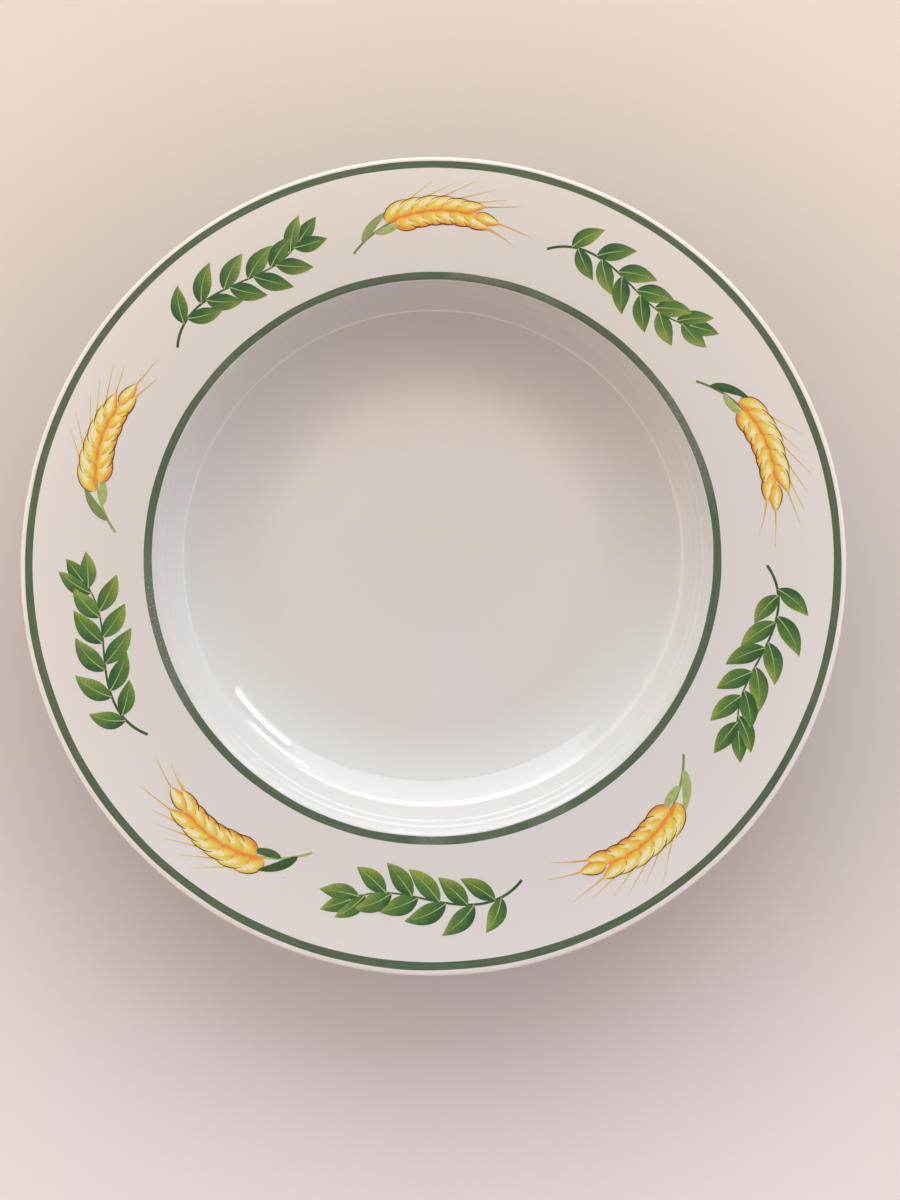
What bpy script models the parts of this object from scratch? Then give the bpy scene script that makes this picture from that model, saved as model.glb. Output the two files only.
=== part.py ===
# Deep rimmed pasta plate in glazed porcelain, turned about +Z as one solid.
# Lengths are in metres. The origin is under the middle of the plate, on the plane that its foot ring stands on.

import math

import bmesh
import bpy
from mathutils import Matrix, Vector

MM = 0.001

# Whole plate
PLATE_RADIUS = 135.0 * MM
PLATE_HEIGHT = 31.0 * MM
SIDES = 104

# Rim: a nearly flat flange that climbs gently to a rounded lip and thickens towards the well
RIM_SLOPE = math.radians(3.4)
RIM_UNDER_SLOPE = math.radians(4.4)
LIP_THICKNESS = 3.4 * MM
LIP_STEPS = 4

# Shoulder and well: a tight turn from the rim, a steep wall, then a wide easy curve to the flat floor
SHOULDER_CORNER = 91.8 * MM
SHOULDER_ROUND = 3.0 * MM
SHOULDER_STEPS = 4
WALL_ANGLE = math.radians(50.6)
WALL_DROP = 8.53 * MM
HEEL_ROUND = 8.0 * MM
HEEL_STEPS = 3
APRON_ANGLE = math.radians(40.0)
WELL_ROUND = 42.0 * MM
WELL_STEPS = 8

# Thickness of the clay
FLOOR_THICKNESS = 5.2 * MM
WALL_THICKNESS = 4.6 * MM

# Underside
THROAT_ROUND = 7.0 * MM
THROAT_STEPS = 4
BELLY_SLOPE = math.radians(27.0)
BELLY_ROUND = 15.0 * MM
BELLY_STEPS = 5

# Foot ring: a low tapered ring with a flat, unglazed tread
TREAD_INNER = 64.0 * MM
TREAD_OUTER = 67.2 * MM
FOOT_HEIGHT = 5.0 * MM
FOOT_RECESS = 4.2 * MM
FOOT_TAPER = math.radians(22.0)
TREAD_ROUND = 0.7 * MM
ROOT_ROUND = 1.4 * MM
FOOT_STEPS = 2

# Painted bands on top of the rim, each from one radius to another; the inner one starts on the shoulder's turn
INNER_BAND = (92.3 * MM, 94.9 * MM)
OUTER_BAND = (130.5 * MM, 132.9 * MM)

SMOOTH_ANGLE = math.radians(35.0)
SAME_POINT = 0.05 * MM


def line_meet(a, angle_a, b, angle_b):
    """The point where a line through a at one slope meets a line through b at another, as radius and height."""
    tan_a = math.tan(angle_a)
    tan_b = math.tan(angle_b)
    radius = (b.y - a.y + tan_a * a.x - tan_b * b.x) / (tan_a - tan_b)
    return Vector((radius, a.y + (radius - a.x) * tan_a))


def rim_top(radius):
    """Height of the rim's upper face at a radius."""
    return PLATE_HEIGHT - (PLATE_RADIUS - LIP_THICKNESS / 2 - radius) * math.tan(RIM_SLOPE)


def section_corners():
    """The half section before rounding, from the middle of the floor out over the lip and back underneath.
    Each entry is a corner, the radius of its rounding and the number of chords in it."""
    floor_top = FOOT_RECESS + FLOOR_THICKNESS
    shoulder = Vector((SHOULDER_CORNER, rim_top(SHOULDER_CORNER)))
    heel = shoulder - Vector((WALL_DROP / math.tan(WALL_ANGLE), WALL_DROP))
    well = line_meet(heel, APRON_ANGLE, Vector((0.0, floor_top)), 0.0)
    lip_top = Vector((PLATE_RADIUS, rim_top(PLATE_RADIUS)))
    lip_under = Vector((PLATE_RADIUS, lip_top.y - LIP_THICKNESS))

    outward = Vector((math.sin(WALL_ANGLE), -math.cos(WALL_ANGLE)))
    wall_back = shoulder + outward * WALL_THICKNESS
    throat = line_meet(lip_under, RIM_UNDER_SLOPE, wall_back, WALL_ANGLE)
    foot_root = Vector((TREAD_OUTER + FOOT_HEIGHT * math.tan(FOOT_TAPER), FOOT_HEIGHT))
    belly = line_meet(foot_root, BELLY_SLOPE, wall_back, WALL_ANGLE)
    recess_root = Vector((TREAD_INNER - FOOT_RECESS * math.tan(FOOT_TAPER), FOOT_RECESS))

    lip_round = LIP_THICKNESS / 2
    return [
        (Vector((0.0, floor_top)), 0.0, 0),
        (well, WELL_ROUND, WELL_STEPS),
        (heel, HEEL_ROUND, HEEL_STEPS),
        (shoulder, SHOULDER_ROUND, SHOULDER_STEPS),
        (lip_top, lip_round, LIP_STEPS),
        (lip_under, lip_round, LIP_STEPS),
        (throat, THROAT_ROUND, THROAT_STEPS),
        (belly, BELLY_ROUND, BELLY_STEPS),
        (foot_root, ROOT_ROUND, FOOT_STEPS),
        (Vector((TREAD_OUTER, 0.0)), TREAD_ROUND, FOOT_STEPS),
        (Vector((TREAD_INNER, 0.0)), TREAD_ROUND, FOOT_STEPS),
        (recess_root, ROOT_ROUND, FOOT_STEPS),
        (Vector((0.0, FOOT_RECESS)), 0.0, 0),
    ]


def round_corner(before, corner, after, radius, steps):
    """Points of the arc that touches both sides of a corner."""
    to_before = (before - corner).normalized()
    to_after = (after - corner).normalized()
    half = to_before.angle(to_after) / 2
    start = corner + to_before * (radius / math.tan(half))
    middle = corner + (to_before + to_after).normalized() * (radius / math.sin(half))
    spoke = start - middle
    sweep = math.pi - 2 * half
    if to_before.cross(to_after) > 0:
        sweep = -sweep
    return [middle + Matrix.Rotation(sweep * i / steps, 2) @ spoke for i in range(steps + 1)]


def section_outline():
    """The rounded half section, with no point given twice."""
    corners = section_corners()
    points = [corners[0][0]]
    for i in range(1, len(corners) - 1):
        corner, radius, steps = corners[i]
        if steps:
            arc = round_corner(corners[i - 1][0], corner, corners[i + 1][0], radius, steps)
        else:
            arc = [corner]
        points += [p for p in arc if (p - points[-1]).length > SAME_POINT]
    points.append(corners[-1][0])
    return cut_at_bands(points)


def cut_at_bands(points):
    """Adds a point on the upper face, where the section runs outwards, at each edge of each band."""
    cut = [points[0]]
    for a, b in zip(points, points[1:], strict=False):
        edges = [edge for edge in (*INNER_BAND, *OUTER_BAND) if a.x < edge < b.x]
        cut += [a.lerp(b, (edge - a.x) / (b.x - a.x)) for edge in edges]
        cut.append(b)
    return cut


def plain_material(name, color, roughness):
    """A glossy ceramic finish of one colour."""
    material = bpy.data.materials.new(name)
    material.use_nodes = True
    shader = material.node_tree.nodes["Principled BSDF"]
    shader.inputs["Base Color"].default_value = (*color, 1.0)
    shader.inputs["Roughness"].default_value = roughness
    shader.inputs["Metallic"].default_value = 0.0
    return material


def band_face(face):
    """Whether a face lies on one of the painted bands."""
    middle = face.calc_center_median()
    radius = math.hypot(middle.x, middle.y)
    on_top = face.normal.z > 0.5
    return on_top and any(start < radius < end for start, end in (INNER_BAND, OUTER_BAND))


def make_plate():
    """Turns the half section about the plate's axis and paints the bands."""
    bm = bmesh.new()
    outline = [bm.verts.new((p.x, 0.0, p.y)) for p in section_outline()]
    edges = [bm.edges.new(pair) for pair in zip(outline, outline[1:], strict=False)]
    bmesh.ops.spin(
        bm,
        geom=outline + edges,
        cent=(0.0, 0.0, 0.0),
        axis=(0.0, 0.0, 1.0),
        angle=math.tau,
        steps=SIDES,
    )
    bmesh.ops.remove_doubles(bm, verts=bm.verts, dist=SAME_POINT)
    bmesh.ops.recalc_face_normals(bm, faces=bm.faces)
    for face in bm.faces:
        face.material_index = int(band_face(face))

    mesh = bpy.data.meshes.new("plate")
    bm.to_mesh(mesh)
    bm.free()
    mesh.materials.append(plain_material("white glaze", (0.80, 0.76, 0.72), 0.08))
    mesh.materials.append(plain_material("green band", (0.07, 0.17, 0.09), 0.12))
    mesh.shade_smooth()
    mesh.set_sharp_from_angle(angle=SMOOTH_ANGLE)
    plate = bpy.data.objects.new("plate", mesh)
    bpy.context.scene.collection.objects.link(plate)
    return plate


for old in list(bpy.data.objects):
    bpy.data.objects.remove(old, do_unlink=True)

make_plate()
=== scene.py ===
import math
import random

import bmesh
import bpy
from mathutils import Matrix, Vector, noise


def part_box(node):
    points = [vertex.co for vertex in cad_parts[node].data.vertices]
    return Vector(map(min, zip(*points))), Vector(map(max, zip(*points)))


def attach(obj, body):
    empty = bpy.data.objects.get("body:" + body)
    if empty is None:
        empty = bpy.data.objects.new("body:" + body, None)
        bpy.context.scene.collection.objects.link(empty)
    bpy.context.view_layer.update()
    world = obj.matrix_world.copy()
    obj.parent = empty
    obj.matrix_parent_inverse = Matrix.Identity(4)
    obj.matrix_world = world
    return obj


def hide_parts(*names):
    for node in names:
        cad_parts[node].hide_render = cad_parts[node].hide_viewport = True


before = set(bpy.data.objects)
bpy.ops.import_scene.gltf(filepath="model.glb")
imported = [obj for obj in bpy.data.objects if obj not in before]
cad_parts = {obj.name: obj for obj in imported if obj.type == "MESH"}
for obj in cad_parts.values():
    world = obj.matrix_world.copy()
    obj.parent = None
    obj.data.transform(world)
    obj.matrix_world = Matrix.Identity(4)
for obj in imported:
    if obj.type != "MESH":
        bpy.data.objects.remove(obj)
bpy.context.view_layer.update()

# A round pasta plate of white glazed porcelain with two green bands on its rim,
# and a ring of wheat ears and leafy sprigs printed between them.
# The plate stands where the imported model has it: foot on z = 0, turned about +Z.

mm = 0.001
plateLow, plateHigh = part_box("plate")
plateRadius = (plateHigh.x - plateLow.x) / 2 / mm
plateHeight = plateHigh.z / mm
print("frame loaded, plate", round(plateRadius * 2, 1), "mm across,", round(plateHeight, 1), "mm tall")


# Small helpers for meshes and pieces

def smoothStep(low, high, value):
    t = min(1.0, max(0.0, (value - low) / (high - low)))
    return t * t * (3 - 2 * t)


def addPiece(name, bm, materials, sharpAngle=None):
    mesh = bpy.data.meshes.new(name)
    bm.to_mesh(mesh)
    bm.free()
    for material in materials:
        mesh.materials.append(material)
    mesh.shade_smooth()
    if sharpAngle:
        mesh.set_sharp_from_angle(angle=math.radians(sharpAngle))
    piece = bpy.data.objects.new(name, mesh)
    bpy.context.scene.collection.objects.link(piece)
    return piece


def rideAsGlaze(piece):
    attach(piece, "root")


# Small helpers for node trees

def addNode(tree, kind, inputs=None, **settings):
    node = tree.nodes.new(kind)
    for key, value in settings.items():
        setattr(node, key, value)
    for key, value in (inputs or {}).items():
        if isinstance(value, bpy.types.NodeSocket):
            tree.links.new(value, node.inputs[key])
        else:
            node.inputs[key].default_value = value
    return node


def addMath(tree, operation, *values):
    return addNode(tree, "ShaderNodeMath", dict(enumerate(values)), operation=operation).outputs[0]


def addVectorMath(tree, operation, *values):
    node = addNode(tree, "ShaderNodeVectorMath", dict(enumerate(values)), operation=operation)
    return node.outputs["Value" if operation == "LENGTH" else "Vector"]


def addShare(tree, base, value, share):
    # base with a share of a value on top
    return addMath(tree, "ADD", base, addMath(tree, "MULTIPLY", value, share))


def addSwing(tree, base, value, swing):
    # base moved up or down as a value of 0 to 1 lies above or below its middle
    return addShare(tree, base, addMath(tree, "SUBTRACT", value, 0.5), swing)


def addNoise(tree, vector, scale, detail, roughness=0.5):
    values = {"Vector": vector, "Scale": scale, "Detail": detail, "Roughness": roughness}
    return addNode(tree, "ShaderNodeTexNoise", values).outputs["Fac"]


def addRange(tree, value, fromLow, fromHigh, toLow=0.0, toHigh=1.0):
    values = {"Value": value, "From Min": fromLow, "From Max": fromHigh, "To Min": toLow, "To Max": toHigh}
    return addNode(tree, "ShaderNodeMapRange", values).outputs["Result"]


def stretchNoise(tree, grain, low=0.0, high=1.0):
    # nearly all of a noise lies from 0.3 to 0.7
    return addRange(tree, grain, 0.3, 0.7, low, high)


def addMix(tree, factor, first, second):
    mix = addNode(tree, "ShaderNodeMix", data_type="RGBA")
    for socket, value in ((mix.inputs[0], factor), (mix.inputs[6], first), (mix.inputs[7], second)):
        if isinstance(value, bpy.types.NodeSocket):
            tree.links.new(value, socket)
        else:
            socket.default_value = (*value, 1.0)
    return mix.outputs[2]


def addRamp(tree, value, places, colors, interpolation="EASE"):
    ramp = addNode(tree, "ShaderNodeValToRGB", {"Fac": value})
    ramp.color_ramp.interpolation = interpolation
    elements = ramp.color_ramp.elements
    while len(elements) < len(places):
        elements.new(0.5)
    for element, place, color in zip(elements, places, colors):
        element.position = place
        element.color = (*color, 1.0)
    return ramp.outputs["Color"]


def addAttribute(tree, name):
    return addNode(tree, "ShaderNodeAttribute", attribute_name=name).outputs["Fac"]


def addSplit(tree, vector):
    return addNode(tree, "ShaderNodeSeparateXYZ", {"Vector": vector}).outputs


finishIor = 1.5              # refraction of every finish


def newFinish(name):
    # a material, its tree and shader, and the place on the object, which its patterns follow
    material = bpy.data.materials.new(name)
    material.use_nodes = True
    tree = material.node_tree
    shader = tree.nodes["Principled BSDF"]
    shader.inputs["IOR"].default_value = finishIor
    place = addNode(tree, "ShaderNodeTexCoord").outputs["Object"]
    return material, tree, shader, place


def setSurface(tree, shader, color, roughness):
    tree.links.new(color, shader.inputs["Base Color"])
    tree.links.new(roughness, shader.inputs["Roughness"])


def setBump(tree, shader, height, depth, strength):
    bump = addNode(tree, "ShaderNodeBump", {"Height": height, "Strength": strength, "Distance": depth})
    tree.links.new(bump.outputs["Normal"], shader.inputs["Normal"])


# The half section of the plate, in millimetres and degrees. Its points are (radius, height).

plate = dict(
    sides=360,               # steps round the plate
    longestStep=4.0,         # along the straight runs of the section
    rimSlope=3.4,
    rimUnderSlope=4.4,
    lipThickness=3.4,
    shoulderCorner=91.8,
    shoulderRound=3.0,
    wallAngle=50.6,
    wallDrop=8.53,
    wallThickness=4.6,
    heelRound=8.0,
    apronAngle=40.0,
    wellRound=42.0,
    floorThickness=5.2,
    throatRound=7.0,
    bellySlope=27.0,
    bellyRound=15.0,
    treadInner=64.0,
    treadOuter=67.2,
    treadRound=0.7,
    bareBelow=0.12,          # height up to which the tread is unglazed
    footHeight=5.0,
    footRecess=4.2,
    footTaper=22.0,
    rootRound=1.4,
    axisReach=0.01,          # a point this near the axis is on it

    # shallow rings that the turning tool left on the wall: radius, width, depth
    wallRings=[(88.1, 0.33, 0.100), (89.6, 0.33, 0.090), (91.05, 0.36, 0.100)],
    ringStep=0.25,           # the section's steps from one radius to the other, above a height
    ringZone=(85.0, 92.5),
    ringZoneLow=15.0,

    # the kiln's warp, which grows from one radius to the other: waves round the rim, height, shift
    warps=[(2, 0.15, 0.7), (3, 0.06, 2.1)],
    warpZone=(70.0, 135.0),

    innerBand=(92.3, 94.9),  # each green band, from one radius to another
    outerBand=(130.5, 132.9),
    bandStray=0.18,          # how far the hand-lined edges stray, at the very most
    strayReach=1.1,          # how far from an edge the stray dies out
    strayDetail=7.0,         # a larger number strays more often round the plate
)


def linesMeet(a, slopeA, b, slopeB):
    tanA = math.tan(math.radians(slopeA))
    tanB = math.tan(math.radians(slopeB))
    radius = (b.y - a.y + tanA * a.x - tanB * b.x) / (tanA - tanB)
    return Vector((radius, a.y + (radius - a.x) * tanA))


def rimLine(radius):
    run = plateRadius - plate["lipThickness"] / 2 - radius
    return plateHeight - run * math.tan(math.radians(plate["rimSlope"]))


def sectionCorners():
    # each corner with the radius of its rounding and the length of its chords
    p = plate
    floorTop = p["footRecess"] + p["floorThickness"]
    wall = math.radians(p["wallAngle"])
    taper = math.tan(math.radians(p["footTaper"]))
    shoulder = Vector((p["shoulderCorner"], rimLine(p["shoulderCorner"])))
    heel = shoulder - Vector((p["wallDrop"] / math.tan(wall), p["wallDrop"]))
    well = linesMeet(heel, p["apronAngle"], Vector((0.0, floorTop)), 0.0)
    lipTop = Vector((plateRadius, rimLine(plateRadius)))
    lipUnder = lipTop - Vector((0.0, p["lipThickness"]))
    wallBack = shoulder + Vector((math.sin(wall), -math.cos(wall))) * p["wallThickness"]
    throat = linesMeet(lipUnder, p["rimUnderSlope"], wallBack, p["wallAngle"])
    footRoot = Vector((p["treadOuter"] + p["footHeight"] * taper, p["footHeight"]))
    belly = linesMeet(footRoot, p["bellySlope"], wallBack, p["wallAngle"])
    recessRoot = Vector((p["treadInner"] - p["footRecess"] * taper, p["footRecess"]))
    return [
        (Vector((0.0, floorTop)), 0.0, 0.0),
        (well, p["wellRound"], 1.0),
        (heel, p["heelRound"], 0.7),
        (shoulder, p["shoulderRound"], 0.3),
        (lipTop, p["lipThickness"] / 2, 0.3),
        (lipUnder, p["lipThickness"] / 2, 0.3),
        (throat, p["throatRound"], 0.8),
        (belly, p["bellyRound"], 1.0),
        (footRoot, p["rootRound"], 0.4),
        (Vector((p["treadOuter"], 0.0)), p["treadRound"], 0.25),
        (Vector((p["treadInner"], 0.0)), p["treadRound"], 0.25),
        (recessRoot, p["rootRound"], 0.4),
        (Vector((0.0, p["footRecess"])), 0.0, 0.0),
    ]


def roundCorner(before, corner, after, radius, chord):
    toBefore = (before - corner).normalized()
    toAfter = (after - corner).normalized()
    half = toBefore.angle(toAfter) / 2
    middle = corner + (toBefore + toAfter).normalized() * (radius / math.sin(half))
    spoke = corner + toBefore * (radius / math.tan(half)) - middle
    sweep = math.pi - 2 * half
    steps = max(3, math.ceil(radius * sweep / chord))
    if toBefore.cross(toAfter) > 0:
        sweep = -sweep
    return [middle + Matrix.Rotation(sweep * i / steps, 2) @ spoke for i in range(steps + 1)]


def stepLength(start, target):
    ringStart, ringEnd = plate["ringZone"]
    onRings = start.x < ringEnd and target.x > ringStart and target.y > plate["ringZoneLow"]
    return plate["ringStep"] if onRings else plate["longestStep"]


def sectionPoints():
    corners = sectionCorners()
    rounded = [corners[0][0]]
    for i in range(1, len(corners) - 1):
        corner, radius, chord = corners[i]
        rounded += roundCorner(corners[i - 1][0], corner, corners[i + 1][0], radius, chord)
    rounded.append(corners[-1][0])
    bandEdges = (*plate["innerBand"], *plate["outerBand"])
    points = [rounded[0]]
    for target in rounded[1:]:
        start = points[-1]
        steps = math.ceil((target - start).length / stepLength(start, target))
        run = [start.lerp(target, (i + 1) / steps) for i in range(steps)]
        for edge in bandEdges:
            if start.x < edge < target.x:
                run.append(start.lerp(target, (edge - start.x) / (target.x - start.x)))
        points += sorted(run, key=lambda point: (point - start).length)
    return points


def wallRing(radius):
    # a shallow ridge and a groove beside it for each ring
    shift = 0.0
    for middle, width, depth in plate["wallRings"]:
        away = (radius - middle) / width
        shift -= depth * away * math.exp(0.5 - away * away / 2)
    return shift


def kilnWarp(radius, angle):
    # the foot stays flat, and the rim goes slightly oval
    warp = sum(height * math.cos(waves * angle + shift) for waves, height, shift in plate["warps"])
    return smoothStep(*plate["warpZone"], radius) * warp


def bandWander(radius, angle):
    # the brush strays a little at each edge of a band, and each edge has a noise of its own
    detail = plate["strayDetail"]
    x, y = math.cos(angle) * detail, math.sin(angle) * detail
    shift = 0.0
    for number, band in enumerate((plate["innerBand"], plate["outerBand"])):
        for side, edge in enumerate(band):
            near = 1 - smoothStep(0.0, plate["strayReach"], abs(radius - edge))
            if near > 0:
                place = Vector((x, y, 5.0 * number + 2.3 * side))
                shift += near * plate["bandStray"] * noise.noise(place)
    return shift


def rimPoint(radius, angle, lift):
    # a point above the top of the rim, in metres
    height = rimLine(radius) + kilnWarp(radius, angle) + lift
    return Vector((radius * math.cos(angle), radius * math.sin(angle), height)) * mm


# How years of stacking and washing have worn the inner band

wear = dict(
    everywhere=0.12,
    edge=1.5,                # mm past the band over which the wear ends
    soft=(0.4, 1.4),         # shares of a place's half width between which it fades
    # angle in degrees, half width in degrees, amount
    places=[
        (80, 7, 0.8),
        (67, 4, 0.7),
        (26, 14, 1.0),
        (197, 16, 1.0),
        (270, 3, 0.8),
        (294, 5, 0.5),
        (140, 6, 0.3),
    ],
)


def wearAt(radius, angle):
    bandStart, bandEnd = plate["innerBand"]
    edge = wear["edge"]
    near = smoothStep(bandStart - edge, bandStart, radius)
    near *= 1 - smoothStep(bandEnd, bandEnd + edge, radius)
    fadeStart, fadeEnd = wear["soft"]
    worn = wear["everywhere"]
    for place, width, amount in wear["places"]:
        away = (math.degrees(angle) - place + 180) % 360 - 180
        worn = max(worn, amount * (1 - smoothStep(width * fadeStart, width * fadeEnd, abs(away))))
    return near * worn


# Finishes of the plate itself

glazeLook = dict(
    warm=(0.815, 0.772, 0.724),
    cool=(0.802, 0.774, 0.742),
    speck=(0.16, 0.12, 0.09),
    speckStrength=0.55,
    speckCells=300.0,        # cells in a metre, and only the rarest of them hold a speck
    speckRareness=0.988,
    speckSize=(0.045, 0.07),             # of a cell, from full to none
    gloss=(0.010, 0.024),
    markTurns=[(0.5, 520.0), (1.9, 430.0)],  # each set of hairline marks: turn in radians, fineness
    markLength=14.0,
    markGloss=0.10,          # roughness that a mark adds
    markRadius=(0.045, 0.072),           # the marks end between these radii
    markHeight=(0.007, 0.009),           # and lie above the underside
    ripple=0.0003,
)


def makeWhiteGlaze():
    look = glazeLook
    material, tree, shader, place = newFinish("whiteGlaze")
    cloud = addRange(tree, addNoise(tree, place, 11.0, 3.0), 0.35, 0.65)
    body = addMix(tree, cloud, look["warm"], look["cool"])

    # a few iron specks under the glaze
    cells = addNode(tree, "ShaderNodeTexVoronoi", {"Vector": place, "Scale": look["speckCells"]}).outputs
    lot = addNode(tree, "ShaderNodeSeparateColor", {"Color": cells["Color"]}).outputs[0]
    rare = addMath(tree, "GREATER_THAN", lot, look["speckRareness"])
    full, none = look["speckSize"]
    dot = addRange(tree, cells["Distance"], none, full)
    speck = addMath(tree, "MULTIPLY", addMath(tree, "MULTIPLY", rare, dot), look["speckStrength"])
    color = addMix(tree, speck, body, look["speck"])

    # hairline marks of cutlery, only on the floor of the well
    radius = addVectorMath(tree, "LENGTH", addVectorMath(tree, "MULTIPLY", place, (1.0, 1.0, 0.0)))
    full, none = look["markRadius"]
    inWell = addRange(tree, radius, none, full)
    aboveFoot = addRange(tree, addSplit(tree, place)["Z"], *look["markHeight"])
    marks = 0.0
    for turn, fineness in look["markTurns"]:
        stretch = (look["markLength"], fineness, look["markLength"])
        values = {"Vector": place, "Rotation": (0.0, 0.0, turn), "Scale": stretch}
        lines = addNoise(tree, addNode(tree, "ShaderNodeMapping", values).outputs[0], 1.0, 1.0)
        marks = addMath(tree, "MAXIMUM", addRange(tree, lines, 0.735, 0.76), marks)
    marks = addMath(tree, "MULTIPLY", marks, addMath(tree, "MULTIPLY", inWell, aboveFoot))

    gloss = stretchNoise(tree, addNoise(tree, place, 38.0, 3.0), *look["gloss"])
    setSurface(tree, shader, color, addShare(tree, gloss, marks, look["markGloss"]))
    flow = addShare(tree, addNoise(tree, place, 30.0, 1.0), addNoise(tree, place, 420.0, 1.0), 0.03)
    setBump(tree, shader, flow, look["ripple"], 0.1)
    return material


bandLook = dict(
    green=(0.083, 0.137, 0.080),
    thin=(0.150, 0.207, 0.122),
    hazy=(0.27, 0.28, 0.25),
    worn=(0.50, 0.56, 0.48),
    thinness=0.75,           # share of the thin colour where the brush ran dry
    haze=0.36,               # share of the hazy colour where the band is worn
    chipping=0.6,            # share of the worn colour in a chip
    streakAlong=0.09,        # stretch of the brush streaks along the band and across it
    streakAcross=14.0,
    gloss=(0.08, 0.15),
    chipGloss=0.2,           # roughness that a chip adds
    chipDepth=0.00002,
)


def makeGreenBand():
    look = bandLook
    material, tree, shader, place = newFinish("greenBand")

    # brush streaks that run round with the line: fine across it, long along it
    flat = addVectorMath(tree, "MULTIPLY", place, (1.0, 1.0, 0.0))
    radius = addVectorMath(tree, "LENGTH", flat)
    turn = addVectorMath(tree, "NORMALIZE", flat)
    along = addVectorMath(tree, "MULTIPLY", turn, (look["streakAlong"],) * 3)
    across = addMath(tree, "MULTIPLY", radius, look["streakAcross"])
    across = addNode(tree, "ShaderNodeCombineXYZ", {"Z": across}).outputs[0]
    streaks = addNoise(tree, addVectorMath(tree, "ADD", along, across), 110.0, 3.0, 0.6)
    streaks = addRange(tree, streaks, 0.42, 0.68)
    pools = addRange(tree, addNoise(tree, place, 60.0, 2.0), 0.35, 0.7)
    dry = addMath(tree, "MAXIMUM", streaks, addMath(tree, "MULTIPLY", pools, 0.6))
    color = addMix(tree, addMath(tree, "MULTIPLY", dry, look["thinness"]), look["green"], look["thin"])

    # scuffs where the colour has worn off
    worn = addAttribute(tree, "wear")
    color = addMix(tree, addRange(tree, worn, 0.0, 0.5, 0.0, look["haze"]), color, look["hazy"])
    chips = addNoise(tree, place, 1500.0, 3.0, 0.7)
    gone = addRange(tree, addShare(tree, chips, worn, 0.16), 0.72, 0.80)
    color = addMix(tree, addMath(tree, "MULTIPLY", gone, look["chipping"]), color, look["worn"])
    gloss = stretchNoise(tree, chips, *look["gloss"])
    setSurface(tree, shader, color, addShare(tree, gloss, gone, look["chipGloss"]))
    setBump(tree, shader, addMath(tree, "SUBTRACT", 1.0, gone), look["chipDepth"], 0.6)
    return material


treadLook = dict(
    bisque=(0.66, 0.62, 0.56),
    rubbed=(0.36, 0.34, 0.32),
    gloss=(0.62, 0.85),
    gritDepth=0.00006,
)


def makeBareTread():
    look = treadLook
    material, tree, shader, place = newFinish("bareTread")
    grit = addNoise(tree, place, 1400.0, 3.0, 0.7)
    rubbed = addRange(tree, addNoise(tree, place, 55.0, 3.0), 0.45, 0.75)
    rubbed = addMath(tree, "MULTIPLY", rubbed, stretchNoise(tree, grit))
    color = addMix(tree, rubbed, look["bisque"], look["rubbed"])
    setSurface(tree, shader, color, stretchNoise(tree, grit, *look["gloss"]))
    setBump(tree, shader, grit, look["gritDepth"], 0.8)
    return material


# The plate: rings of points joined by faces, with a slot for each finish

def finishSlot(middle, onTop):
    # 0 is the glaze, 1 the green of the bands and 2 the bare tread
    if onTop and any(start < middle.x < end for start, end in (plate["innerBand"], plate["outerBand"])):
        return 1
    if middle.y < plate["bareBelow"] and plate["treadInner"] < middle.x < plate["treadOuter"]:
        return 2
    return 0


def turnPoint(bm, wearLayer, point, onTop):
    # the ring that one point of the section makes as the plate turns
    sides = plate["sides"]
    if point.x < plate["axisReach"]:
        return [bm.verts.new((0.0, 0.0, point.y * mm))] * sides
    ring = []
    for step in range(sides):
        angle = math.tau * step / sides
        radius = point.x
        height = point.y + kilnWarp(radius, angle)
        if onTop:
            height += wallRing(radius)
            shift = bandWander(radius, angle)
            radius += shift
            height += shift * math.tan(math.radians(plate["rimSlope"]))
        vert = bm.verts.new((radius * math.cos(angle) * mm, radius * math.sin(angle) * mm, height * mm))
        if onTop:
            vert[wearLayer] = wearAt(radius, angle)
        ring.append(vert)
    return ring


def makePlate():
    section = sectionPoints()
    lipIndex = max(range(len(section)), key=lambda i: section[i].x)
    sides = plate["sides"]
    bm = bmesh.new()
    wearLayer = bm.verts.layers.float.new("wear")
    rings = [turnPoint(bm, wearLayer, point, i < lipIndex) for i, point in enumerate(section)]
    for i in range(len(section) - 1):
        slot = finishSlot((section[i] + section[i + 1]) / 2, i < lipIndex)
        for step in range(sides):
            after = (step + 1) % sides
            corners = [rings[i][step], rings[i][after], rings[i + 1][after], rings[i + 1][step]]
            face = bm.faces.new(list(dict.fromkeys(corners)))    # a triangle where a ring is a single point
            face.material_index = slot
    bmesh.ops.recalc_face_normals(bm, faces=bm.faces)
    piece = addPiece("glazed_plate", bm, [makeWhiteGlaze(), makeGreenBand(), makeBareTread()])
    rideAsGlaze(piece)
    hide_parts("plate")
    print("plate turned:", len(section), "rings of", sides)


makePlate()


# Printed decoration. Each mark is a thin domed film of enamel that lies on the rim.
# Its drawing plane has x along the rim, clockwise, and y outwards, in millimetres.

decoration = dict(
    middle=112.4,            # radius that the marks are centred on
    repeats=5,
    firstEar=90.0,           # degrees, anticlockwise from +X
    film=0.045,              # height of the enamel's dome
    lowest=0.012,            # lift of the lowest layer, and of each layer over the one below
    layerStep=0.010,
    sunk=0.08,               # how far the underside sits in the glaze
    thinnest=0.03,           # least half width of a mark
    sharpAngle=50,
    seed=11,
)
draw = random.Random(decoration["seed"])


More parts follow.
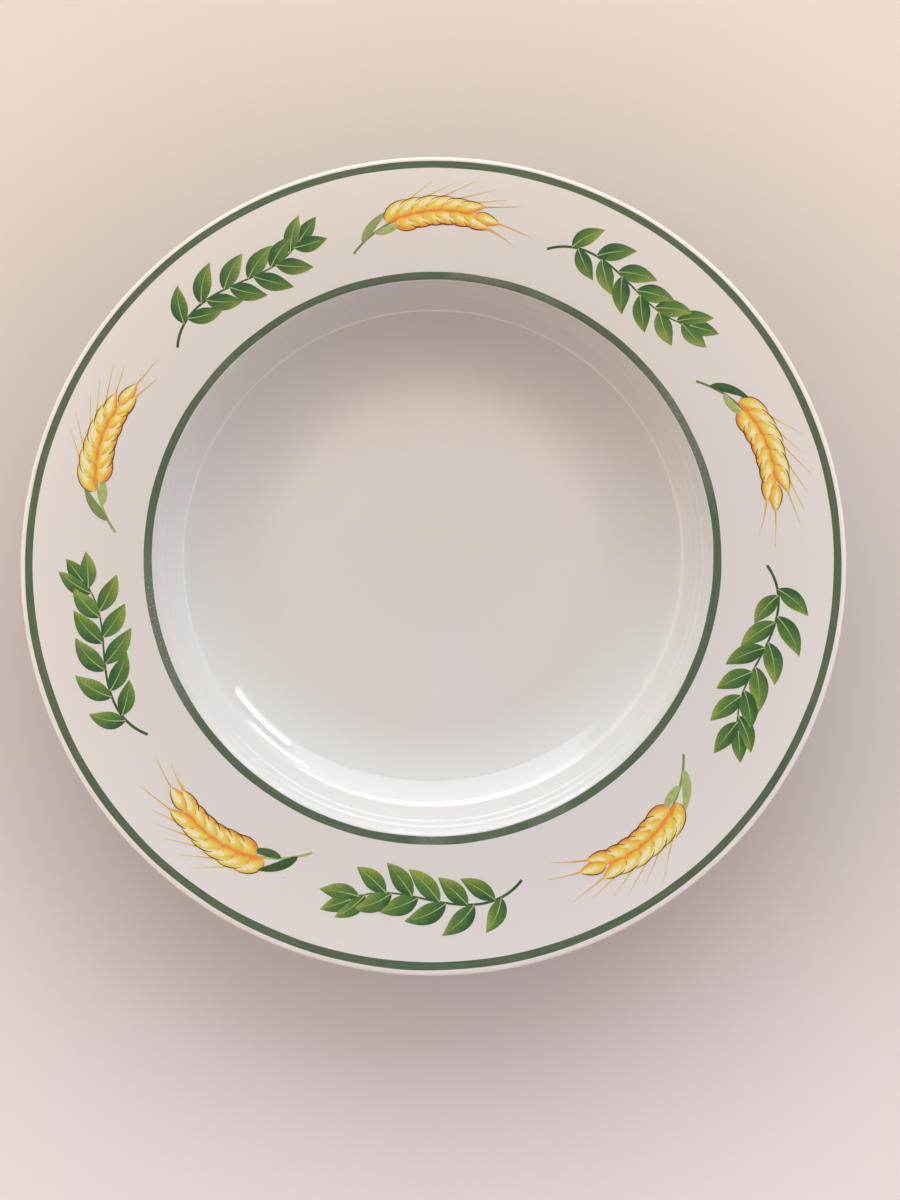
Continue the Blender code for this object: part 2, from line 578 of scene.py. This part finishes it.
class MarkSheet:
    # gathers the marks of one colour into one mesh
    def __init__(self, name):
        self.name = name
        self.bm = bmesh.new()
        self.along = self.bm.verts.layers.float.new("along")
        self.across = self.bm.verts.layers.float.new("across")
        self.tone = self.bm.verts.layers.float.new("tone")
        self.turn = 0.0

    def addVert(self, spot, lift, along, across, tone):
        angle = self.turn - spot.x / decoration["middle"]
        vert = self.bm.verts.new(rimPoint(decoration["middle"] + spot.y, angle, lift))
        vert[self.along] = along
        vert[self.across] = across
        vert[self.tone] = tone
        return vert

    def addBlade(self, axis, halfWidth, columns, layer, tone=None):
        # axis is a list of points, halfWidth gives the half width at 0..1 along it
        tone = draw.random() if tone is None else tone
        base = decoration["lowest"] + decoration["layerStep"] * layer
        last = len(axis) - 1
        rows = []
        for i, spot in enumerate(axis):
            along = i / last
            heading = (axis[min(last, i + 1)] - axis[max(0, i - 1)]).normalized()
            side = Vector((-heading.y, heading.x))
            width = max(decoration["thinnest"], halfWidth(along))
            top = []
            for j in range(columns):
                x = 2 * j / (columns - 1) - 1
                dome = decoration["film"] * (1 - x * x) * min(1.0, width)
                top.append(self.addVert(spot + side * (x * width), base + dome, along, x, tone))
            low = []
            for x in (-1, 1):
                low.append(self.addVert(spot + side * (x * width), -decoration["sunk"], along, x, tone))
            rows.append((top, low))
        for (topA, lowA), (topB, lowB) in zip(rows, rows[1:]):
            for j in range(columns - 1):
                self.bm.faces.new((topA[j], topB[j], topB[j + 1], topA[j + 1]))
            self.bm.faces.new((lowA[0], lowA[1], lowB[1], lowB[0]))
            self.bm.faces.new((lowA[0], lowB[0], topB[0], topA[0]))
            self.bm.faces.new((topA[-1], topB[-1], lowB[1], lowA[1]))
        self.bm.faces.new([*rows[0][0], rows[0][1][1], rows[0][1][0]])
        self.bm.faces.new([*reversed(rows[-1][0]), rows[-1][1][0], rows[-1][1][1]])

    def finish(self, material):
        bmesh.ops.recalc_face_normals(self.bm, faces=self.bm.faces)
        piece = addPiece(self.name, self.bm, [material], decoration["sharpAngle"])
        rideAsGlaze(piece)
        print("printed", self.name, len(piece.data.polygons), "faces")


def bezier(points, t):
    points = list(points)
    while len(points) > 1:
        points = [a.lerp(b, t) for a, b in zip(points, points[1:])]
    return points[0]


def curvePoints(points, end, steps):
    # spots along the curve, from its start to a share of its run
    return [bezier(points, end * i / steps) for i in range(steps + 1)]


def headingOf(points, t):
    return (bezier(points, min(1.0, t + 0.02)) - bezier(points, max(0.0, t - 0.02))).normalized()


def turned(vector, degrees):
    return Matrix.Rotation(math.radians(degrees), 2) @ vector


def bentAxis(start, heading, length, bend, steps):
    # points of a line that turns by bend degrees over its length
    points = [start]
    for i in range(steps):
        direction = turned(heading, bend * (i + 0.5) / steps)
        points.append(points[-1] + direction * (length / steps))
    return points


def sideLine(axis, halfWidth, side, start, end, steps):
    # points along one edge of a blade
    last = len(axis) - 1
    line = []
    for k in range(steps + 1):
        t = start + (end - start) * k / steps
        i = int(t * last)
        spot = axis[i].lerp(axis[i + 1], t * last - i)
        heading = (axis[i + 1] - axis[i]).normalized()
        line.append(spot + Vector((-heading.y, heading.x)) * (side * halfWidth(t)))
    return line


def roundBlade(t, lean, fullness):
    # width of a rounded blade, widest nearer its root the further lean is below 1
    return math.sin(math.pi * t ** lean) ** fullness


# Ears of wheat

ear = dict(
    axis=[(-29.0, -8.0), (-10.0, 6.5), (15.0, 2.0)],
    stemReach=0.9,           # share of the axis that the stem covers
    stemWidth=0.42,          # half the width of the stem at its root, and how much of it is gone at its end
    stemTaper=0.12,
    leaves=[(0.10, 24.0, 15.0, 1.5), (0.22, -30.0, 12.0, 1.3)],  # place, lean, length, half width
    leafBend=1.3,            # how far leaves and grains bend back, as a share of their lean
    grainsFrom=0.34,         # the grains stand along this stretch of the axis
    grainsTo=0.96,
    pairs=6,
    grainLength=11.0,
    grainWidth=2.65,         # half the width of a grain
    grainBend=0.75,
    shrink=0.16,             # share of their size that grains lose towards the tip
    spread=33.0,             # degrees that the grains stand off the axis
    closing=7.0,             # degrees of that which they lose towards the tip
    rootAside=0.7,           # where a grain starts, beside the axis
    rootAhead=2.4,           # and how much further on it starts on the right
    beardLength=14.0,
    beardWidth=0.20,
    beardSunk=0.8,           # how far inside its grain a beard starts
    beardLean=0.42,          # as a share of the grain's lean
    beardBend=9,
    inkWidth=0.15,
    inkReach=(0.05, 0.9),    # stretch of a grain's edge that is outlined
)


def grainWidth(t):
    return ear["grainWidth"] * roundBlade(t, 0.72, 0.8)


def inkWidth(t):
    return ear["inkWidth"] * (0.35 + 0.65 * math.sin(math.pi * t))


def addStemLeaf(stems, axis, place, lean, length, width):
    heading = turned(headingOf(axis, place), lean)
    leaf = bentAxis(bezier(axis, place), heading, length, -lean * ear["leafBend"], steps=12)
    stems.addBlade(leaf, lambda t: width * roundBlade(t, 0.7, 0.9), columns=5, layer=1)


def addGrain(axis, k, side, grains, beards, ink):
    # one grain of pair k with its beard and outline; side is 1, -1 or 0 for the single one at the tip
    place = ear["grainsFrom"] + (ear["grainsTo"] - ear["grainsFrom"]) * k / ear["pairs"]
    heading = headingOf(axis, place)
    small = 1.0 - ear["shrink"] * k / ear["pairs"]
    lean = side * (ear["spread"] - ear["closing"] * k / ear["pairs"] + draw.uniform(-2, 2))
    length = ear["grainLength"] * small * draw.uniform(0.95, 1.05)
    root = bezier(axis, place) + turned(heading, 90 * side) * ear["rootAside"]
    if side < 0:
        root = root + heading * ear["rootAhead"]
    grain = bentAxis(root, turned(heading, lean), length, -lean * ear["grainBend"], steps=14)

    aim = turned(heading, lean * ear["beardLean"] + draw.uniform(-3, 3))
    beardLength = ear["beardLength"] * draw.uniform(0.8, 1.05) * small
    beardBend = side * ear["beardBend"] + draw.uniform(-4, 4)
    beard = bentAxis(grain[-1] - aim * ear["beardSunk"], aim, beardLength, beardBend, steps=12)
    layer = k + 1
    beards.addBlade(beard, lambda t: ear["beardWidth"] * (1.05 - 0.8 * t), columns=3, layer=layer)
    grains.addBlade(grain, lambda t: grainWidth(t) * small, columns=7, layer=layer)
    edge = sideLine(grain, lambda t: grainWidth(t) * small * 0.97, side or 1, *ear["inkReach"], steps=14)
    ink.addBlade(edge, inkWidth, columns=3, layer=layer + 3)


def addEar(turn, grains, beards, stems, ink):
    for sheet in (grains, beards, stems, ink):
        sheet.turn = turn
    axis = [Vector(p) for p in ear["axis"]]
    stem = curvePoints(axis, ear["stemReach"], steps=18)
    stems.addBlade(stem, lambda t: ear["stemWidth"] - ear["stemTaper"] * t, columns=3, layer=0)
    for leaf in ear["leaves"]:
        addStemLeaf(stems, axis, *leaf)
    for k in range(ear["pairs"]):
        addGrain(axis, k, 1, grains, beards, ink)
        addGrain(axis, k, -1, grains, beards, ink)
    addGrain(axis, ear["pairs"], 0, grains, beards, ink)


# Leafy sprigs

sprig = dict(
    axis=[(-30.0, -3.0), (-12.0, 10.0), (8.0, -10.0), (25.0, 2.0)],
    pairs=6,
    leavesFrom=0.14,         # the pairs of leaves stand along this length of the axis
    leavesRun=0.78,
    stagger=0.035,           # how much further on the second leaf of a pair stands
    leafLength=12.5,
    leafWidth=2.75,          # half the width of a leaf
    leafBend=0.45,
    tipLength=0.9,           # of the leaf at the tip, as a share of the others
    stemWidth=0.42,
    stemTone=0.15,           # tones that pick the colours of stem and rib
    ribTone=0.8,
    ribWidth=0.17,
    ribPoints=14,            # of the leaf's 17 points, from its root
    lean=(54.0, 34.0),       # degrees off the axis, at the foot and at the tip
)


def leafWidth(t):
    return sprig["leafWidth"] * roundBlade(t, 0.82, 0.95)


def sprigStemWidth(t):
    return sprig["stemWidth"] * (1.1 - 0.6 * t)


def ribWidth(t):
    return sprig["ribWidth"] * (1.1 - 0.85 * t)


def addLeaf(axis, place, side, number, leaves, ribs):
    # leaves are numbered from the foot, and the longest are near the middle;
    # side is 1, -1 or 0 for the single one at the tip
    heading = headingOf(axis, place)
    share = number // 2 / sprig["pairs"]
    small = 0.78 + 0.34 * math.sin(math.pi * (0.22 + 0.7 * share))
    footLean, tipLean = sprig["lean"]
    lean = side * (footLean + (tipLean - footLean) * share + draw.uniform(-5, 5))
    length = sprig["leafLength"] * small * draw.uniform(0.94, 1.06)
    if not side:
        length *= sprig["tipLength"]
    bend = -lean * sprig["leafBend"] + draw.uniform(-6, 6)
    leaf = bentAxis(bezier(axis, place), turned(heading, lean), length, bend, steps=16)
    leaves.addBlade(leaf, lambda t: leafWidth(t) * small, columns=7, layer=1 + number % 3)
    rib = leaf[:sprig["ribPoints"]]
    ribs.addBlade(rib, ribWidth, columns=3, layer=6 + number % 3, tone=sprig["ribTone"])


def addSprig(turn, leaves, ribs):
    for sheet in (leaves, ribs):
        sheet.turn = turn
    axis = [Vector(p) for p in sprig["axis"]]
    stem = curvePoints(axis, 1.0, steps=30)
    ribs.addBlade(stem, sprigStemWidth, columns=3, layer=0, tone=sprig["stemTone"])
    for k in range(sprig["pairs"]):
        place = sprig["leavesFrom"] + sprig["leavesRun"] * k / (sprig["pairs"] - 1)
        addLeaf(axis, place, 1, 2 * k, leaves, ribs)
        addLeaf(axis, place + sprig["stagger"], -1, 2 * k + 1, leaves, ribs)
    addLeaf(axis, 1.0, 0, 2 * sprig["pairs"], leaves, ribs)


# Enamels of the decoration

wheatLook = dict(
    cream=(0.93, 0.84, 0.50),
    yellow=(0.86, 0.70, 0.13),
    gold=(0.90, 0.52, 0.085),
    orange=(0.90, 0.30, 0.065),
    places=(0.06, 0.26, 0.62, 0.98),     # depth of colour at which each of these stands
    litSide=0.18,            # the lit side lies a little off the middle of a grain
    edgePower=1.7,           # the colour deepens to the edges, the root and the tip
    rootDepth=0.55,
    tipDepth=0.35,
    mottling=0.55,
    variety=0.16,            # from grain to grain
    gloss=(0.07, 0.14),
    grainDepth=0.00001,
)


def makeWheatGold():
    look = wheatLook
    material, tree, shader, place = newFinish("wheatGold")
    along = addAttribute(tree, "along")
    mottle = addNoise(tree, place, 700.0, 3.0, 0.6)
    off = addMath(tree, "SUBTRACT", addAttribute(tree, "across"), look["litSide"])
    deep = addMath(tree, "POWER", addMath(tree, "ABSOLUTE", off), look["edgePower"])
    deep = addShare(tree, deep, addRange(tree, along, 0.42, 0.0), look["rootDepth"])
    deep = addShare(tree, deep, addRange(tree, along, 0.80, 1.0), look["tipDepth"])
    deep = addSwing(tree, deep, mottle, look["mottling"])
    deep = addSwing(tree, deep, addAttribute(tree, "tone"), look["variety"])
    colors = [look["cream"], look["yellow"], look["gold"], look["orange"]]
    color = addRamp(tree, deep, look["places"], colors)
    setSurface(tree, shader, color, stretchNoise(tree, mottle, *look["gloss"]))
    setBump(tree, shader, mottle, look["grainDepth"], 0.5)
    return material


beardLook = dict(
    root=(0.86, 0.36, 0.06),
    middle=(0.84, 0.56, 0.10),
    tip=(0.84, 0.68, 0.26),
    mottling=0.7,
    gloss=(0.08, 0.15),
)


def makeBeardGold():
    look = beardLook
    material, tree, shader, place = newFinish("beardGold")
    grain = addNoise(tree, place, 500.0, 2.0)
    shade = addSwing(tree, addAttribute(tree, "along"), grain, look["mottling"])
    color = addRamp(tree, shade, (0.0, 0.5, 1.0), [look["root"], look["middle"], look["tip"]])
    setSurface(tree, shader, color, stretchNoise(tree, grain, *look["gloss"]))
    return material


leafLook = dict(
    dark=(0.050, 0.130, 0.052),
    middle=(0.110, 0.225, 0.056),
    light=(0.320, 0.400, 0.080),
    places=(0.16, 0.50, 0.92),           # shade at which each of these stands
    rib=(0.46, 0.54, 0.20),
    stem=(0.054, 0.122, 0.050),
    litAlong=0.62,           # how much lighter the tip is than the root
    litAcross=0.38,          # and one side than the other
    variety=0.30,            # from leaf to leaf
    mottling=0.35,
    veins=62.0,              # radians that the wave of the veins runs along a leaf
    veinSlant=0.13,
    veinDepth=0.42,
    gloss=(0.08, 0.15),
    grainDepth=0.00001,
)


def makeLeafGreen():
    look = leafLook
    material, tree, shader, place = newFinish("leafGreen")
    along = addAttribute(tree, "along")
    across = addAttribute(tree, "across")
    mottle = addNoise(tree, place, 420.0, 3.0, 0.6)
    lit = addMath(tree, "MULTIPLY", addRange(tree, across, 0.9, -0.9), look["litAcross"])
    shade = addShare(tree, lit, along, look["litAlong"])
    shade = addSwing(tree, shade, addAttribute(tree, "tone"), look["variety"])
    shade = addSwing(tree, shade, mottle, look["mottling"])
    color = addRamp(tree, shade, look["places"], [look["dark"], look["middle"], look["light"]])

    # side veins slant forward from the rib
    slant = addMath(tree, "MULTIPLY", addMath(tree, "ABSOLUTE", across), look["veinSlant"])
    wave = addMath(tree, "MULTIPLY", addMath(tree, "SUBTRACT", along, slant), look["veins"])
    vein = addRange(tree, addMath(tree, "SINE", wave), 0.82, 0.98)
    color = addMix(tree, addMath(tree, "MULTIPLY", vein, look["veinDepth"]), color, look["dark"])
    setSurface(tree, shader, color, stretchNoise(tree, mottle, *look["gloss"]))
    setBump(tree, shader, mottle, look["grainDepth"], 0.5)
    return material


def makeLeafStem():
    # one finish for stems and ribs, picked by the tone of the mark
    look = leafLook
    material, tree, shader, place = newFinish("leafStem")
    mottle = addNoise(tree, place, 500.0, 2.0)
    color = addMix(tree, addRange(tree, addAttribute(tree, "tone"), 0.3, 0.7), look["stem"], look["rib"])
    color = addMix(tree, addRange(tree, mottle, 0.45, 0.8, 0.0, 0.4), color, look["middle"])
    setSurface(tree, shader, color, stretchNoise(tree, mottle, *look["gloss"]))
    return material


inkLook = dict(
    dark=(0.055, 0.026, 0.020),
    brown=(0.17, 0.075, 0.040),
    gloss=(0.10, 0.18),
)


def makeInk():
    look = inkLook
    material, tree, shader, place = newFinish("outlineInk")
    mottle = addNoise(tree, place, 600.0, 2.0)
    color = addMix(tree, addRange(tree, mottle, 0.4, 0.75), look["dark"], look["brown"])
    setSurface(tree, shader, color, stretchNoise(tree, mottle, *look["gloss"]))
    return material


def printDecoration():
    grains = MarkSheet("wheat_grains")
    beards = MarkSheet("wheat_beards")
    stems = MarkSheet("wheat_stems")
    ink = MarkSheet("grain_outlines")
    leaves = MarkSheet("sprig_leaves")
    ribs = MarkSheet("sprig_stems")
    step = math.tau / decoration["repeats"]
    for k in range(decoration["repeats"]):
        turn = math.radians(decoration["firstEar"]) + k * step
        addEar(turn, grains, beards, stems, ink)
        addSprig(turn + step / 2, leaves, ribs)
    grains.finish(makeWheatGold())
    beards.finish(makeBeardGold())
    stems.finish(makeLeafStem())
    ink.finish(makeInk())
    leaves.finish(makeLeafGreen())
    ribs.finish(makeLeafStem())


printDecoration()


# Plain pale floor

floorLook = dict(
    size=3.0,
    pale=(0.54, 0.525, 0.505),
    deep=(0.50, 0.485, 0.465),
    roughness=0.6,
)


def makeFloor():
    look = floorLook
    material, tree, shader, place = newFinish("paleFloor")
    shader.inputs["Roughness"].default_value = look["roughness"]
    color = addMix(tree, addNoise(tree, place, 6.0, 4.0), look["pale"], look["deep"])
    tree.links.new(color, shader.inputs["Base Color"])
    bm = bmesh.new()
    bmesh.ops.create_grid(bm, x_segments=8, y_segments=8, size=look["size"] / 2)
    floor = addPiece("studio_floor", bm, [material])
    print("floor laid")


makeFloor()


# Soft daylight through a wide window beyond the plate and two small ones at its right,
# light from the walls at both sides, a ring softbox and a pale room all round

panelDistance = 2.0          # metres from the plate to each window and wall

panels = [
    # Bearing is measured from +Y towards -X. Soft is the share of the width that fades out at either side.
    # The foot of a window, up to its sill, has a brightness of its own: glow is the foot's and the rest's.
    # Streaks are uneven panes and reflections in that foot.
    dict(name="wideWindow", bearing=3, elevation=30.5, width=2.3, height=0.88, power=27,
         color=(0.72, 0.89, 1.0), soft=0.10, sill=0.20, glow=(1.9, 0.74), streaks=1.0),
    dict(name="sideWindow", bearing=-38, elevation=36, width=0.50, height=0.24, power=3.2,
         color=(0.94, 0.97, 1.0), soft=0.04, sill=0.62, glow=(1.2, 0.35), streaks=0.3),
    dict(name="lowSideWindow", bearing=-32, elevation=26, width=0.55, height=0.12, power=1.6,
         color=(0.88, 0.95, 1.0), soft=0.15, sill=0.5, glow=(1.2, 0.8), streaks=1.0),
    dict(name="leftWall", bearing=84, elevation=16, width=2.0, height=0.80, power=4.5,
         color=(1.0, 0.66, 0.43), soft=0.40, sill=0.0, glow=(1.0, 1.0), streaks=0.0),
    dict(name="rightWall", bearing=-82, elevation=14, width=2.0, height=0.80, power=5.1,
         color=(0.41, 0.635, 1.0), soft=0.40, sill=0.0, glow=(1.0, 1.0), streaks=0.0),
]

# a ring softbox hung low round the plate: it lights the rim more than the floor of the well
ringBox = dict(
    middle=(0.004, -0.012, 0.140),       # metres
    across=0.70,
    hole=0.66,               # share of the radius that stays dark
    edge=0.03,
    power=3.45,
    startColor=(0.97, 0.82, 0.89),       # from one side of the ring to the other
    endColor=(0.80, 0.55, 0.32),
)

# colour of the room by the height of the direction, 0 at the horizon and 1 straight up:
# near is the viewer's side, far is beyond the plate
room = dict(
    heights=(0.0, 0.30, 0.60, 0.85, 1.0),
    near=[
        (0.247, 0.242, 0.237),
        (0.268, 0.255, 0.241),
        (0.100, 0.093, 0.087),
        (0.292, 0.268, 0.251),
        (0.0, 0.0, 0.0),
    ],
    far=[
        (0.837, 0.873, 0.900),
        (0.765, 0.816, 0.850),
        (0.302, 0.287, 0.275),
        (0.511, 0.470, 0.445),
        (0.0, 0.0, 0.0),
    ],
)


def addLight(name, shape, sizes, power, place):
    # gives the lamp, and the place on its panel as 0..1 across and 0..1 up
    light = bpy.data.lights.new(name, "AREA")
    light.shape = shape
    light.size, light.size_y = sizes
    light.energy = power
    light.use_nodes = True
    lamp = bpy.data.objects.new(name, light)
    lamp.location = place
    lamp.visible_camera = False
    bpy.context.scene.collection.objects.link(lamp)
    tree = light.node_tree
    split = addSplit(tree, addNode(tree, "ShaderNodeNewGeometry").outputs["Parametric"])
    return lamp, split["X"], split["Y"]


def addPanel(panel):
    bearing = math.radians(panel["bearing"])
    elevation = math.radians(panel["elevation"])
    flat = math.cos(elevation)
    aim = Vector((-math.sin(bearing) * flat, math.cos(bearing) * flat, math.sin(elevation)))
    sizes = (panel["width"], panel["height"])
    lamp, across, up = addLight(panel["name"], "RECTANGLE", sizes, panel["power"], aim * panelDistance)
    lamp.rotation_euler = aim.to_track_quat("Z", "Y").to_euler()
    lamp.data.color = panel["color"]

    tree = lamp.data.node_tree
    soft = panel["soft"]
    left = addRange(tree, across, 0.0, soft)
    right = addRange(tree, across, 1.0, 1.0 - soft)
    inFoot = addRange(tree, up, panel["sill"] + 0.01, panel["sill"] - 0.01)
    glowFoot, glowRest = panel["glow"]
    glow = addRange(tree, inFoot, 0.0, 1.0, glowRest, glowFoot)
    glow = addMath(tree, "MULTIPLY", glow, addMath(tree, "MULTIPLY", left, right))
    streaks = panel["streaks"]
    if streaks:
        fine = {"X": addMath(tree, "MULTIPLY", across, 24.0), "Y": addMath(tree, "MULTIPLY", up, 55.0)}
        patchy = addNoise(tree, addNode(tree, "ShaderNodeCombineXYZ", fine).outputs[0], 1.0, 2.0)
        patchy = addRange(tree, patchy, 0.40, 0.60, 1.0 - 0.85 * streaks, 1.0 + 0.5 * streaks)
        glow = addMath(tree, "MULTIPLY", glow, addMix(tree, inFoot, (1.0, 1.0, 1.0), patchy))
    tree.links.new(glow, tree.nodes["Emission"].inputs["Strength"])


def addRingBox():
    box = ringBox
    sizes = (box["across"], box["across"])
    lamp, across, up = addLight("ringSoftbox", "DISK", sizes, box["power"], box["middle"])
    tree = lamp.data.node_tree
    aside = addMath(tree, "POWER", addMath(tree, "SUBTRACT", across, 0.5), 2.0)
    along = addMath(tree, "POWER", addMath(tree, "SUBTRACT", up, 0.5), 2.0)
    away = addMath(tree, "SQRT", addMath(tree, "ADD", aside, along))
    hole = box["hole"] / 2
    glow = addRange(tree, away, hole - box["edge"], hole + box["edge"])
    color = addMix(tree, up, box["startColor"], box["endColor"])
    tree.links.new(glow, tree.nodes["Emission"].inputs["Strength"])
    tree.links.new(color, tree.nodes["Emission"].inputs["Color"])


def addRoom():
    world = bpy.data.worlds.new("paleRoom")
    bpy.context.scene.world = world
    world.use_nodes = True
    tree = world.node_tree
    direction = addSplit(tree, addNode(tree, "ShaderNodeTexCoord").outputs["Generated"])
    near = addRamp(tree, direction["Z"], room["heights"], room["near"], "LINEAR")
    far = addRamp(tree, direction["Z"], room["heights"], room["far"], "LINEAR")
    color = addMix(tree, addRange(tree, direction["Y"], -0.5, 0.5), near, far)
    tree.links.new(color, tree.nodes["Background"].inputs["Color"])


# The camera looks down from 28 cm above the rim, a few degrees off the plate's axis

camera = dict(
    aside=8.86,              # mm from the axis, along X and along Y
    nearer=-40.85,
    aboveRim=280.93,
    tilt=4.93,
    roll=0.57,
    focalPixels=870,         # focal length, in pixels of a frame of this height
    framePixels=1200,
    sensor=36,
)


def addCamera():
    data = bpy.data.cameras.new("camera")
    data.sensor_width = camera["sensor"]
    data.lens = camera["focalPixels"] / camera["framePixels"] * camera["sensor"]
    data.clip_start = 0.01
    eye = bpy.data.objects.new("camera", data)
    eye.rotation_mode = "YXZ"
    eye.rotation_euler = (math.radians(camera["tilt"]), math.radians(camera["roll"]), 0.0)
    eye.location = Vector((camera["aside"], camera["nearer"], plateHeight + camera["aboveRim"])) * mm
    bpy.context.scene.collection.objects.link(eye)
    bpy.context.scene.camera = eye


for panel in panels:
    addPanel(panel)
addRingBox()
addRoom()
addCamera()
bpy.context.scene.view_settings.view_transform = "Standard"
print("lights and camera placed")
